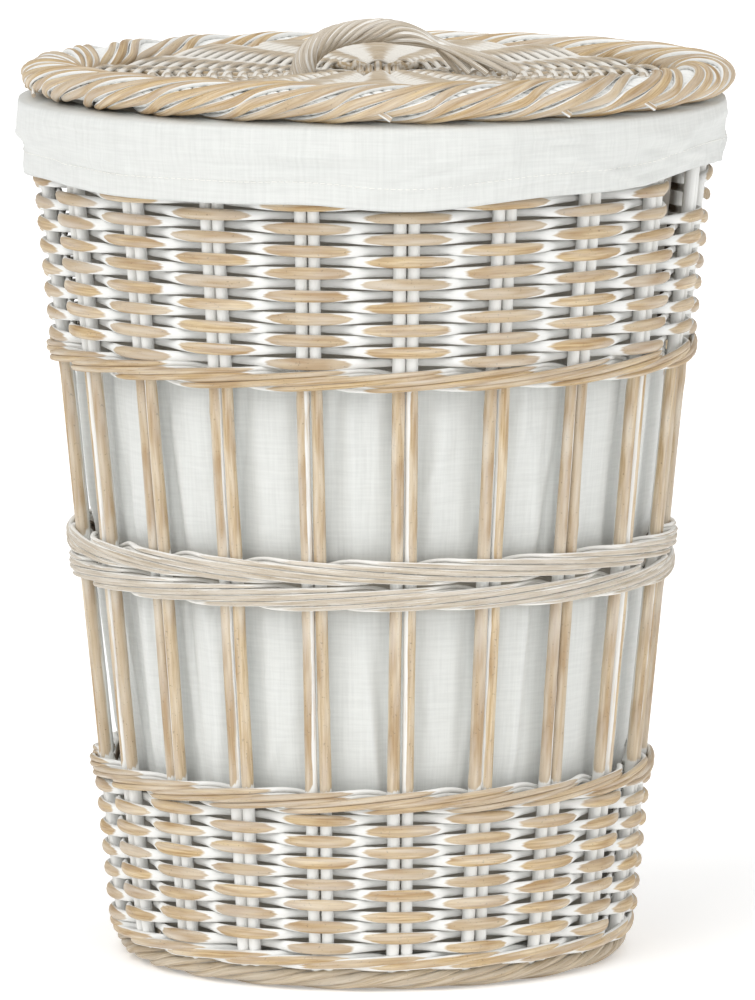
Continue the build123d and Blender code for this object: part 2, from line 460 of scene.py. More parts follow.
def lay(
    name: str,
    strands: Sequence[Strand],
    section: Section,
    bare: Measure,
    finish: Material,
    upright: bool = True,
) -> bpy.types.Object:
    """Makes one piece out of strands.

    Args:
        name: The piece's name.
        strands: The rods, in order.
        section: Their section.
        bare: Says how proud of the weave each point of the surface is: 1 is proud, 0 is recessed, and
            below that it faces into the hamper.
        finish: The piece's material.
        upright: True keeps the section's height upright, for rods that lie level. False lets it turn
            as little as it can, for rods that stand or twist.

    Returns:
        The piece: a mesh with a UV map in metres along each rod, and the attributes bare and tone.
    """
    profile = section.curve()
    rods = []
    for number, strand in enumerate(strands):
        data = bpy.data.curves.new(name, "CURVE")
        data.dimensions = "3D"
        data.twist_mode = "Z_UP" if upright else "MINIMUM"
        data.bevel_mode = "OBJECT"
        data.bevel_object = profile
        data.use_fill_caps = True
        line = data.splines.new("POLY")
        count = len(strand.points)
        line.points.add(count - 1)
        places = np.column_stack([strand.points, np.ones(count)]).astype(np.float32)
        line.points.foreach_set("co", places.ravel())
        line.points.foreach_set("radius", np.full(count, strand.swell, np.float32))
        line.points.foreach_set("tilt", np.full(count, strand.tilt, np.float32))
        rods.append(link(bpy.data.objects.new(f"{name}_{number}", data)))
    graph = bpy.context.evaluated_depsgraph_get()
    pieces = []
    for number, (rod, strand) in enumerate(zip(rods, strands)):
        mesh = bpy.data.meshes.new_from_object(rod.evaluated_get(graph))
        label_rod(mesh, strand, number, bare)
        pieces.append(link(bpy.data.objects.new(name, mesh)))
    for rod in (*rods, profile):
        data = rod.data
        bpy.data.objects.remove(rod)
        bpy.data.curves.remove(data)
    whole = pieces[0]
    if len(pieces) > 1:
        with bpy.context.temp_override(active_object=whole, object=whole, selected_editable_objects=pieces):
            bpy.ops.object.join()
    whole.name = whole.data.name = name
    whole.data.materials.clear()
    whole.data.materials.append(finish)
    whole.data.shade_smooth()
    return whole


def label_rod(mesh: bpy.types.Mesh, strand: Strand, number: int, bare: Measure) -> None:
    """Writes a rod's UV map in metres, and its attributes bare and tone.

    Args:
        mesh: The rod's mesh, fresh from its curve.
        strand: The strand it was made from.
        number: The rod's number, which keeps its grain apart from its neighbours' by some metres.
        bare: Says how proud of the weave each point is.
    """
    places = np.empty(len(mesh.vertices) * 3, np.float32)
    mesh.vertices.foreach_get("co", places)
    places = places.reshape(-1, 3).astype(float)
    mesh.attributes.new("bare", "FLOAT", "POINT").data.foreach_set("value", bare(places).astype(np.float32))
    tones = np.full(len(places), strand.tone, np.float32)
    mesh.attributes.new("tone", "FLOAT", "POINT").data.foreach_set("value", tones)
    layer = mesh.uv_layers[0]
    uvs = np.empty(len(mesh.loops) * 2, np.float32)
    layer.data.foreach_get("uv", uvs)
    uvs = uvs.reshape(-1, 2)
    uvs[:, 0] = uvs[:, 0] * strand.length + number * 3.7
    layer.data.foreach_set("uv", uvs.ravel())
    layer.name = "UVMap"


def put(piece: bpy.types.Object, body: str, slot: str, *nodes: str) -> bpy.types.Object:
    """Lets a piece ride on a body, in place of some nodes, and reports it.

    Args:
        piece: The finished piece.
        body: Name of the body it moves with.
        slot: Not used.
        *nodes: The nodes it stands for.

    Returns:
        The same piece.
    """
    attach(piece, body)
    if nodes:
        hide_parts(*nodes)
    log.info("%s: %d faces, rides on %s", piece.name, len(piece.data.polygons), body)
    return piece


# ---------------------------------------------------------------- the basket's side


def proud_of_stakes(reach: float) -> Measure:
    """How far the surface stands out from the circle of stakes.

    Args:
        reach: The distance at which it counts as fully proud.

    Returns:
        A function from points to values, 0 on the circle of stakes and 1 at the reach.
    """

    def bare(points: np.ndarray) -> np.ndarray:
        """Measures points against the circle of stakes."""
        radius = np.hypot(points[:, 0], points[:, 1])
        return np.clip((radius - SHAPE.circle(points[:, 2])) / reach, -1.0, 1.0)

    return bare


@dataclass
class Stakes:
    """Twenty-one pairs of straight rods that everything else is woven round."""

    finish: Material
    samples: int = 72
    bend: float = 0.55 * MM
    knot_swell: float = 0.09
    knot_length: float = 2.6 * MM
    first_knot: Span = (30.0 * MM, 140.0 * MM)
    knot_gap: Span = (110.0 * MM, 200.0 * MM)
    washed_edge: float = 1.6 * MM
    tuck: float = 6.0 * MM
    tucked_between: Span = (24.0 * MM, 6.0 * MM)

    def washed_zones(self) -> list[tuple[float, float]]:
        """Finds where the weave shields the stakes, so that they stay white.

        Returns:
            The lowest and highest height of each zone.
        """
        ends = (
            ("foot_border", "lower_top_wale"),
            ("middle_wale_lower", "middle_wale_upper"),
            ("upper_bottom_wale", "rim_border"),
        )
        return [(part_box(low)[0][2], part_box(high)[1][2]) for low, high in ends]

    def rod(self, pair: int, side: int) -> Strand:
        """One rod of a pair.

        Args:
            pair: The pair's number, from 0.
            side: -1 for the left rod and 1 for the right one, seen from outside.

        Returns:
            The rod, with the slight bends and knots of cane.
        """
        low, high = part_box(f"stake_pair_{pair + 1:02d}")
        seed = pair * 2 + (side > 0)
        chance = random.Random(seed)
        heights = np.linspace(low[2] + 0.5 * MM, high[2] - 0.5 * MM, self.samples)
        angle = SHAPE.angle(pair)
        out = SHAPE.circle(heights) + self.bend * 0.5 * wander(self.samples, 16, seed + 100)
        out = out - self.tuck * smooth(*self.tucked_between, heights)
        shift = side * SHAPE.rod_spacing / 2.0 + self.bend * wander(self.samples, 14, seed + 200)
        points = np.column_stack([
            out * math.sin(angle) + shift * math.cos(angle),
            -out * math.cos(angle) + shift * math.sin(angle),
            heights,
        ])
        swell = 1.0 + 0.05 * wander(self.samples, 20, seed + 300) + chance.uniform(-0.05, 0.03)
        knot = chance.uniform(*self.first_knot)
        while knot < high[2]:
            swell = swell + self.knot_swell * np.exp(-((heights - knot) / self.knot_length) ** 2)
            knot += chance.uniform(*self.knot_gap)
        return Strand(points, swell, 0.0, chance.random())

    def bare(self, pair: int) -> Measure:
        """Says where the wash is wiped off a pair: in the open, and not where its rods face each other.

        Args:
            pair: The pair's number, from 0.

        Returns:
            A function from points to values, 1 where the cane is fully bare.
        """
        zones = self.washed_zones()
        angle = SHAPE.angle(pair)
        lean = 0.35 * (pair % 3 - 1)

        def bare(points: np.ndarray) -> np.ndarray:
            """Measures points against the pair's own axes.

            Args:
                points: The points, one row each.

            Returns:
                The value of each.
            """
            across = points[:, 0] * math.cos(angle) + points[:, 1] * math.sin(angle)
            out = points[:, 0] * math.sin(angle) - points[:, 1] * math.cos(angle) - SHAPE.circle(points[:, 2])
            groove = across / (SHAPE.rod_spacing / 2.0) + lean
            open_side = smooth(0.18, 0.62, np.abs(groove)) * smooth(-4.0 * MM, 1.0 * MM, out)
            value = 0.25 + 0.75 * open_side
            for low, high in zones:
                clear = np.maximum(low - points[:, 2], points[:, 2] - high)
                value = value * smooth(-3.0 * MM, self.washed_edge, clear)
            return value

        return bare

    def build(self) -> None:
        """Makes the pairs, one piece each."""
        section = Section(SHAPE.rod_radius, SHAPE.rod_radius, 12)
        for pair in range(SHAPE.pairs):
            rods = [self.rod(pair, side) for side in (-1, 1)]
            name = f"stake_pair_{pair + 1:02d}"
            piece = lay(f"cane_{name}", rods, section, self.bare(pair), self.finish, upright=False)
            put(piece, "basket", "rattan_stakes", name)


@dataclass
class Randing:
    """A deep band of plain weave: one weaver that goes in front of one pair and behind the next."""

    node: str
    finish: Material
    pitch: float = 6.85 * MM
    reach: float = 6.1 * MM
    section: Section = Section(2.4 * MM, 3.8 * MM, 10)
    samples_per_pair: int = 9
    flat_top: float = 0.75
    wobble: float = 0.45 * MM
    row_wobble: float = 0.35 * MM
    proud: float = 8.3 * MM
    windowed: bool = False
    seed: int = 1

    def sway(self, angle: np.ndarray) -> np.ndarray:
        """Place of the weaver across the wall, from -1 inside to 1 outside, with slightly flat tops."""
        wave = np.cos((angle - SHAPE.first_angle) * SHAPE.pairs / 2.0)
        return np.tanh(self.flat_top * wave) / math.tanh(self.flat_top)

    def swell(self, sway: np.ndarray, seed: int) -> np.ndarray:
        """Thickness of the weaver, which is squeezed flat where it passes behind a pair."""
        return 0.85 + 0.17 * sway + 0.07 * wander(len(sway), 14, seed)

    def ring(self, low: float, high: float) -> list[Strand]:
        """Level rounds of one weaver, which climbs to the next round between two pairs at the back.

        Args:
            low: Lower edge of the band.
            high: Upper edge of the band.

        Returns:
            The strands, end to end. Both ends of the weaver are hidden behind a pair.
        """
        turns = round((high - low) / self.pitch)
        pairs = turns * SHAPE.pairs - turns % 2
        start = SHAPE.angle(SHAPE.pairs // 2 + 1)
        walked = np.linspace(0.0, pairs, pairs * self.samples_per_pair + 1)
        turn = walked / SHAPE.pairs
        climbed = np.floor(turn) + smooth(1.0 - 1.0 / SHAPE.pairs, 1.0, np.mod(turn, 1.0))
        height = low + (high - low) / turns * (0.5 + np.minimum(climbed, turns - 1))
        height = height + self.wobble * wander(len(height), 11, self.seed)
        angle = start + walked * SHAPE.step
        sway = self.sway(angle)
        points = around(SHAPE.circle(height) + self.reach * sway, angle, height)
        return self.cut(points, self.swell(sway, self.seed + 1), 0.8)

    def cut(self, points: np.ndarray, swell: np.ndarray, share: float) -> list[Strand]:
        """Cuts a long route into strands of different tone, each cut hidden behind a pair.

        Args:
            points: The route.
            swell: The thickness along it.
            share: About how many turns one length of cane lasts.

        Returns:
            The strands, end to end.
        """
        chance = random.Random(self.seed)
        out = np.hypot(points[:, 0], points[:, 1]) - SHAPE.circle(points[:, 2])
        hidden = [i for i in range(1, len(points) - 1) if out[i] <= out[i - 1] and out[i] < out[i + 1]]
        usual = share * SHAPE.pairs * self.samples_per_pair
        strands = []
        start = 0
        while start < len(points) - 2:
            wanted = start + usual * chance.uniform(0.4, 1.6)
            stop = next((i for i in hidden if i > wanted), len(points) - 1) + 1
            strands.append(Strand(points[start:stop], swell[start:stop], 0.0, chance.random()))
            start = stop - 1
        return strands

    def panel(self, first: int, last: int, low: float, high: float) -> list[Strand]:
        """Rows that run to and fro between two pairs and turn round them.

        Args:
            first: Number of the pair at the left edge.
            last: Number of the pair at the right edge, which is larger.
            low: Centre of the lowest row.
            high: Centre of the highest row.

        Returns:
            The strands.
        """
        left, right = SHAPE.angle(first), SHAPE.angle(last)
        steps = (last - first) * self.samples_per_pair
        rows = int(round((high - low) / self.pitch)) + 1
        pitch = (high - low) / (rows - 1)
        routes = []
        swells = []
        for row in range(rows):
            flip = 1 if row % 2 == 0 else -1
            angle = np.linspace(left, right, steps)
            height = low + row * pitch + self.row_wobble * wander(steps, 11, self.seed + row)
            sway = self.sway(angle + (row + 1) * SHAPE.step)
            points = around(SHAPE.circle(height) + self.reach * sway, angle, height)
            routes.append(points[::flip])
            swells.append(self.swell(sway, self.seed + row)[::flip])
            if row + 1 < rows:
                edge = right if flip > 0 else left
                routes.append(self.turn(edge, flip, height[0], pitch, routes[-1][-1]))
                swells.append(np.full(len(routes[-1]), 0.9))
        return self.cut(np.concatenate(routes), np.concatenate(swells), 0.6)

    def turn(self, edge: float, flip: int, height: float, pitch: float, start: np.ndarray) -> np.ndarray:
        """Half a turn round the pair at the end of a row.

        Args:
            edge: Angle of the pair.
            flip: 1 for the right edge and -1 for the left one.
            height: Centre of the row that ends here.
            pitch: Height from that row to the next.
            start: The row's last point.

        Returns:
            Points between the two rows.
        """
        width = SHAPE.rod_spacing / 2.0 + SHAPE.rod_radius + self.section.depth
        outwards = 1.0 if math.hypot(start[0], start[1]) > SHAPE.circle(height) else -1.0
        half = np.linspace(0.3, math.pi - 0.3, 8)
        rise = height + pitch * half / math.pi
        radius = SHAPE.circle(rise) + self.reach * outwards * np.cos(half)
        return around(radius, edge + flip * width * np.sin(half) / radius, rise)

    def build(self) -> None:
        """Makes the band."""
        low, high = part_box(self.node)
        if self.windowed:
            strands = self.ring(low[2], SHAPE.window_bottom)
            row = SHAPE.window_bottom + self.pitch / 2.0
            top = high[2] - self.section.height
            near, far = SHAPE.window_pairs
            strands += self.panel(far + 1 - SHAPE.pairs, near - 1, row, top)
            strands += self.panel(near + 1, far - 1, row, top)
        else:
            strands = self.ring(low[2], high[2])
        piece = lay(f"cane_{self.node}", strands, self.section, proud_of_stakes(self.proud), self.finish)
        put(piece, "basket", "whitewashed_rattan", self.node)


@dataclass
class Wale:
    """A narrow ring of several weavers that follow each other.

    Each passes behind one pair in turn, and climbs across the others in front.
    """

    node: str
    finish: Material
    slot: str = "whitewashed_rattan"
    way: Way = Way.RIGHT
    weavers: int = 3
    rods: int = 2
    rod: Section = Section(2.2 * MM, 2.0 * MM, 8)
    rod_spacing: float = 3.55 * MM
    rise: float = 4.9 * MM
    inside: float = 5.9 * MM
    outside: float = 6.2 * MM
    belly: float = 1.3 * MM
    drop: float = 0.0
    proud: float = 9.6 * MM
    samples_per_pair: int = 12
    seed: int = 11

    def weaver(self, number: int, rod: int) -> Strand:
        """One rod of one weaver, all the way round from the back.

        Args:
            number: The weaver's number.
            rod: The rod's number in it, from the bottom.

        Returns:
            The strand.
        """
        low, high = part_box(self.node)
        middle = (low[2] + high[2]) / 2.0 - self.drop
        count = SHAPE.pairs * self.samples_per_pair + 1
        angle = np.linspace(-math.pi, math.pi, count)
        place = (angle - SHAPE.first_angle) / SHAPE.step * self.way.value + number
        # measured in pairs from the pair that it passes behind
        phase = np.mod(place, self.weavers)
        beyond = self.weavers - phase
        front = smooth(0.1, 0.9, phase) * smooth(0.1, 0.9, beyond)
        across = np.clip((phase - 0.5) / (self.weavers - 1.0), 0.0, 1.0)
        behind = np.where(phase < 0.5, phase + 0.5, np.where(beyond < 0.5, 0.5 - beyond, 0.0))
        climb = 0.7 * (2.0 * across - 1.0) + 0.3 * np.sin((across - 0.5) * math.pi)
        climb = np.where((phase < 0.5) | (beyond < 0.5), np.cos(behind * math.pi), climb)
        seed = self.seed + number * 7 + rod
        swell = 0.78 + 0.24 * np.sin(across * math.pi) ** 0.7 + 0.07 * wander(count, 16, seed + 50)
        offset = (rod - (self.rods - 1) / 2.0) * self.rod_spacing
        height = middle + self.rise * climb + offset * swell + 0.3 * MM * wander(count, 15, seed)
        radius = SHAPE.circle(middle) - self.inside + (self.inside + self.outside) * front
        radius = radius + self.belly * np.sin(across * math.pi) * (1.0 if rod % 2 else 0.8)
        return Strand(around(radius, angle, height), swell, 0.0, random.Random(seed).random())

    def build(self) -> None:
        """Makes the ring."""
        strands = [self.weaver(number, rod) for number in range(self.weavers) for rod in range(self.rods)]
        piece = lay(f"cane_{self.node}", strands, self.rod, proud_of_stakes(self.proud), self.finish)
        put(piece, "basket", self.slot, self.node)


# ---------------------------------------------------------------- rolled borders


@dataclass
class RolledBorder:
    """Rods wound round a ring with an oval section, side by side in groups."""

    name: str
    finish: Material
    centre: tuple[float, float]
    radius: float
    middle: float
    half_width: float
    half_height: float
    turns: float
    groups: int
    rod: Section
    rods: int = 1
    rod_spacing: float = 0.0
    way: Way = Way.RIGHT
    sunk: tuple[float, ...] = (0.0,)
    first: float = 0.0
    lift: float = 0.0
    samples_per_turn: int = 30
    seed: int = 31

    def raised(self, points: np.ndarray) -> np.ndarray:
        """The border's own height at each point, which is a little more at the front."""
        return 1.0 + self.lift * (-(points[:, 1] - self.centre[1]) / self.radius)

    def rope(self, group: int, rod: int) -> Strand:
        """One rod of a group, wound all the way round the ring.

        Args:
            group: The group's number.
            rod: The rod's number in it.

        Returns:
            The strand.
        """
        count = int(self.turns * self.samples_per_turn) + 1
        run = np.linspace(0.0, 1.0, count)
        turn = TURN * (self.turns * run - group / self.groups)
        seed = self.seed + group * 5 + rod
        wobble = wander(count, 18, seed) * smooth(0.0, 0.02, run) * smooth(1.0, 0.98, run)
        across = self.half_width - self.rod.depth - self.sunk[rod]
        tall = self.half_height - self.rod.depth - self.sunk[rod]
        # the rods of a group lie side by side, so one follows the other by more where they run flatter
        rate = self.turns / self.radius
        slant = np.arctan(np.hypot(across * np.sin(turn), tall * np.cos(turn)) * rate)
        follow = (rod - (self.rods - 1) / 2.0) * self.rod_spacing / np.sin(slant) / self.radius
        start = math.pi + self.first * TURN / self.turns
        angle = start + TURN * run * self.way.value + follow + 0.6 * MM * wobble / self.radius
        points = around(self.radius + across * np.cos(turn), angle, self.middle + tall * np.sin(turn))
        points[:, 2] = self.middle + (points[:, 2] - self.middle) * self.raised(points)
        points[:, 0] += self.centre[0]
        points[:, 1] += self.centre[1]
        facing = np.unwrap(np.arctan2(across * np.sin(turn), tall * np.cos(turn)))
        tone = random.Random(seed).random() ** 1.3
        return Strand(points, 1.0 + 0.05 * wobble, -self.way.value * facing, tone)

    def bare(self, points: np.ndarray) -> np.ndarray:
        """Measures how far points are towards the outside of the oval section.

        Args:
            points: The points, one row each.

        Returns:
            The value of each, 1 on the outside.
        """
        radius = np.hypot(points[:, 0] - self.centre[0], points[:, 1] - self.centre[1]) - self.radius
        height = points[:, 2] - self.middle
        out = np.hypot(radius / self.half_width, height / self.half_height)
        return smooth(0.62, 0.98, out)

    def build(self, body: str, slot: str, *nodes: str) -> None:
        """Makes the border.

        Args:
            body: Name of the body it moves with.
            slot: Name of its material slot.
            *nodes: The nodes it stands for.
        """
        strands = [self.rope(group, rod) for group in range(self.groups) for rod in range(self.rods)]
        put(lay(self.name, strands, self.rod, self.bare, self.finish), body, slot, *nodes)


# ---------------------------------------------------------------- woven discs


@dataclass
class WovenDisc:
    """A disc of weave on two crossed layers of sticks, wound in two spirals that change over."""

    name: str
    finish: Material
    centre_x: float
    low_sticks: float
    high_sticks: float
    outer: float
    inner: float = 41.0 * MM
    binding: float = 25.0 * MM
    rays: int = 20
    pitch: float = 4.9 * MM
    reach: float = 3.7 * MM
    wobble: float = 0.3 * MM
    half_rod: float = 1.6 * MM
    section: Section = Section(2.3 * MM, 1.6 * MM, 8)
    seed: int = 51

    def level(self, angle: np.ndarray) -> np.ndarray:
        """Finds the height of the sticks: the low layer lies along X and the high one along Y.

        Args:
            angle: Angles from the front.

        Returns:
            The height at each.
        """
        middle = (self.low_sticks + self.high_sticks) / 2.0
        half = (self.high_sticks - self.low_sticks) / 2.0
        return middle + half * np.tanh(3.5 * np.cos(2.0 * angle)) / math.tanh(3.5)

    def spiral(self, number: int) -> Strand:
        """One of the two spirals, over the rays that the other goes under.

        Args:
            number: 0 or 1.

        Returns:
            The strand.
        """
        turns = (self.outer - self.inner - 2.0 * self.section.depth) / (2.0 * self.pitch)
        count = int(turns * self.rays * 7)
        angle = np.linspace(0.0, turns * TURN, count)
        radius = self.inner + self.section.depth + self.pitch * (2.0 * angle / TURN + number)
        wave = np.cos(angle * self.rays / 2.0 + math.pi * number)
        height = self.level(angle) + self.reach * wave
        points = around(radius + self.wobble * wander(count, 9, self.seed + number), angle, height)
        points[:, 0] += self.centre_x
        return Strand(points, 0.98 + 0.05 * wander(count, 20, self.seed), 0.0, 0.4 + 0.3 * number)

    def binders(self) -> Strand:
        """Winds the first rounds, which tie the two layers of sticks together.

        Returns:
            The strand.
        """
        turns = (self.inner - self.binding) / self.pitch
        count = int(turns * 48)
        angle = np.linspace(0.0, turns * TURN, count)
        radius = self.binding + self.pitch * angle / TURN
        middle = (self.low_sticks + self.high_sticks) / 2.0
        height = middle - 1.3 * MM * np.cos(2.0 * angle)
        points = around(radius, angle, height)
        points[:, 0] += self.centre_x
        return Strand(points, 1.0, 0.0, 0.3)

    def bare(self, points: np.ndarray) -> np.ndarray:
        """Measures how far points stand out of the disc, above or below.

        Args:
            points: The points, one row each.

        Returns:
            The value of each, 1 where a rod passes over a ray.
        """
        angle = np.arctan2(points[:, 0] - self.centre_x, -points[:, 1])
        out = np.abs(points[:, 2] - self.level(angle)) / (self.reach + self.half_rod)
        return np.clip(out, 0.0, 1.0) ** 3.0

    def build(self, body: str, *nodes: str) -> None:
        """Makes the disc."""
        strands = [self.spiral(0), self.spiral(1), self.binders()]
        put(lay(self.name, strands, self.section, self.bare, self.finish), body, "whitewashed_rattan", *nodes)


# ---------------------------------------------------------------- the lid's handle


@dataclass
class RopeHandle:
    """A bundle of thin rods twisted into an arch, which part on the right and run out over the lid."""

    finish: Material
    rods: int = 10
    rod: Section = Section(1.95 * MM, 1.95 * MM, 8)
    radius: float = 5.8 * MM
    twist: float = 2.2 * TURN
    samples: int = 96
    loose_from: float = 0.56
    fan_centre: tuple[float, float] = (74.0 * MM, 2.0 * MM)
    fan_size: tuple[float, float] = (20.0 * MM, 19.0 * MM)

    def arch(self) -> np.ndarray:
        """Draws the arch from left to right: steep on the left, low on the right.

        Returns:
            Its centre line, one row a point.
        """
        low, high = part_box("lid_handle")
        left, right = low[0] + 12.0 * MM, high[0] - 4.0 * MM
        top = high[2] - self.radius - self.rod.depth
        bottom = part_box("lid_weave")[0][2] + 2.0 * MM
        t = np.linspace(0.0, math.pi, self.samples)
        peak = left + 0.44 * (right - left)
        reach = np.where(t < math.pi / 2.0, peak - left, right - peak)
        down = np.clip(2.0 * t / math.pi - 1.0, 0.0, 1.0)
        x = np.where(down > 0.0, peak + reach * down, peak - reach * np.abs(np.cos(t)) ** 0.95)
        z = bottom + (top - bottom) * np.where(down > 0.0, 1.0 - down ** 1.9, np.sin(t) ** 0.72)
        y = np.full_like(t, (low[1] + high[1]) / 2.0) - 6.0 * MM * np.cos(t)
        return np.column_stack([x, y, z])

    def twine(self, number: int) -> Strand:
        """One rod of the bundle.

        Args:
            number: The rod's number.

        Returns:
            The strand.
        """
        centre = self.arch()
        ahead = np.gradient(centre, axis=0)
        ahead /= np.linalg.norm(ahead, axis=1)[:, None]
        side = np.tile([0.0, 1.0, 0.0], (self.samples, 1))
        up = np.cross(side, ahead)
        up /= np.linalg.norm(up, axis=1)[:, None]
        run = np.linspace(0.0, 1.0, self.samples)
        past = np.maximum(run - self.loose_from, 0.0)
        wound = run - past + 0.1 * (1.0 - np.exp(-past / 0.1))
        turn = TURN * number / self.rods - self.twist * wound + 0.06 * wander(self.samples, 20, 70 + number)
        reach = self.radius * (1.0 + 0.1 * smooth(0.14, 0.0, run))
        points = centre + (np.cos(turn) * reach)[:, None] * up + (np.sin(turn) * reach)[:, None] * side
        # on the right the rods part and run out over the lid, each to its own place
        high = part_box("lid_weave")[1]
        end = np.array([
            self.fan_centre[0] + self.fan_size[0] * np.cos(turn[-1]),
            self.fan_centre[1] + self.fan_size[1] * np.sin(turn[-1]),
            high[2] - 3.5 * MM,
        ])
        loose = smooth(self.loose_from, 1.1, run)[:, None]
        loose = loose / loose[-1]
        points = points + loose * (end - points[-1])
        swell = 1.0 + 0.06 * wander(self.samples, 18, 90 + number)
        return Strand(points, swell, 0.0, 0.35 + 0.5 * (number % 3) / 2)

    def bare(self, points: np.ndarray) -> np.ndarray:
        """Measures how far points are from the bundle's centre line.

        Args:
            points: The points, one row each.

        Returns:
            The value of each, 1 on the outside of the bundle.
        """
        centre = self.arch()
        gap = np.linalg.norm(points[:, None, :] - centre[None, :, :], axis=2).min(axis=1)
        return smooth(0.3, 1.0, gap / (self.radius + self.rod.depth))

    def build(self) -> None:
        """Makes the handle."""
        strands = [self.twine(number) for number in range(self.rods)]
        piece = lay("rope_handle", strands, self.rod, self.bare, self.finish, upright=False)
        put(piece, "lid", "grey_rattan", "lid_handle")


# ---------------------------------------------------------------- the liner


@dataclass
class Crease:
    """One soft fold in the cloth: a ridge along a slanting line that fades at both ends."""

    angle: float
    height: float
    slant: float
    length: float
    width: float
    depth: float

    def push(self, angle: np.ndarray, height: np.ndarray, radius: float) -> np.ndarray:
        """Works out how far the fold pushes the cloth outwards.

        Args:
            angle: Angle of each point.
            height: Its height.
            radius: Usual radius of the cloth there.

        Returns:
            The push at each point.
        """
        across = (np.mod(angle - self.angle + math.pi, TURN) - math.pi) * radius
        along = height - self.height
        off = across * math.cos(self.slant) - along * math.sin(self.slant)
        run = across * math.sin(self.slant) + along * math.cos(self.slant)
        fade = np.exp(-((run / self.length) ** 4))
        trough = np.exp(-(((off - 1.6 * self.width) / self.width) ** 2))
        ridge = np.exp(-((off / self.width) ** 2)) - 0.55 * trough
        return self.depth * ridge * fade


def rise_and_fall(rise: Span, fall: Span, height: np.ndarray) -> np.ndarray:
    """Goes smoothly from 0 to 1 over the heights of rise, and back to 0 over those of fall."""
    return smooth(*rise, height) * (1.0 - smooth(*fall, height))


def creases(
    count: int, seed: int, low: float, high: float, slants: Span, depth: float, length: Span, width: Span
) -> list[Crease]:
    """Random folds.

    Args:
        count: How many.
        seed: Seed of the random numbers.
        low: Lowest height of a fold's middle.
        high: Highest height of a fold's middle.
        slants: Least and most slant from upright.
        depth: Depth of the deepest.
        length: Least and most half length.
        width: Least and most half width.

    Returns:
        The folds.
    """
    chance = random.Random(seed)
    return [
        Crease(chance.uniform(0.0, TURN), chance.uniform(low, high), chance.uniform(*slants),
               chance.uniform(*length), chance.uniform(*width), depth * chance.uniform(0.35, 1.0))
        for _ in range(count)
    ]


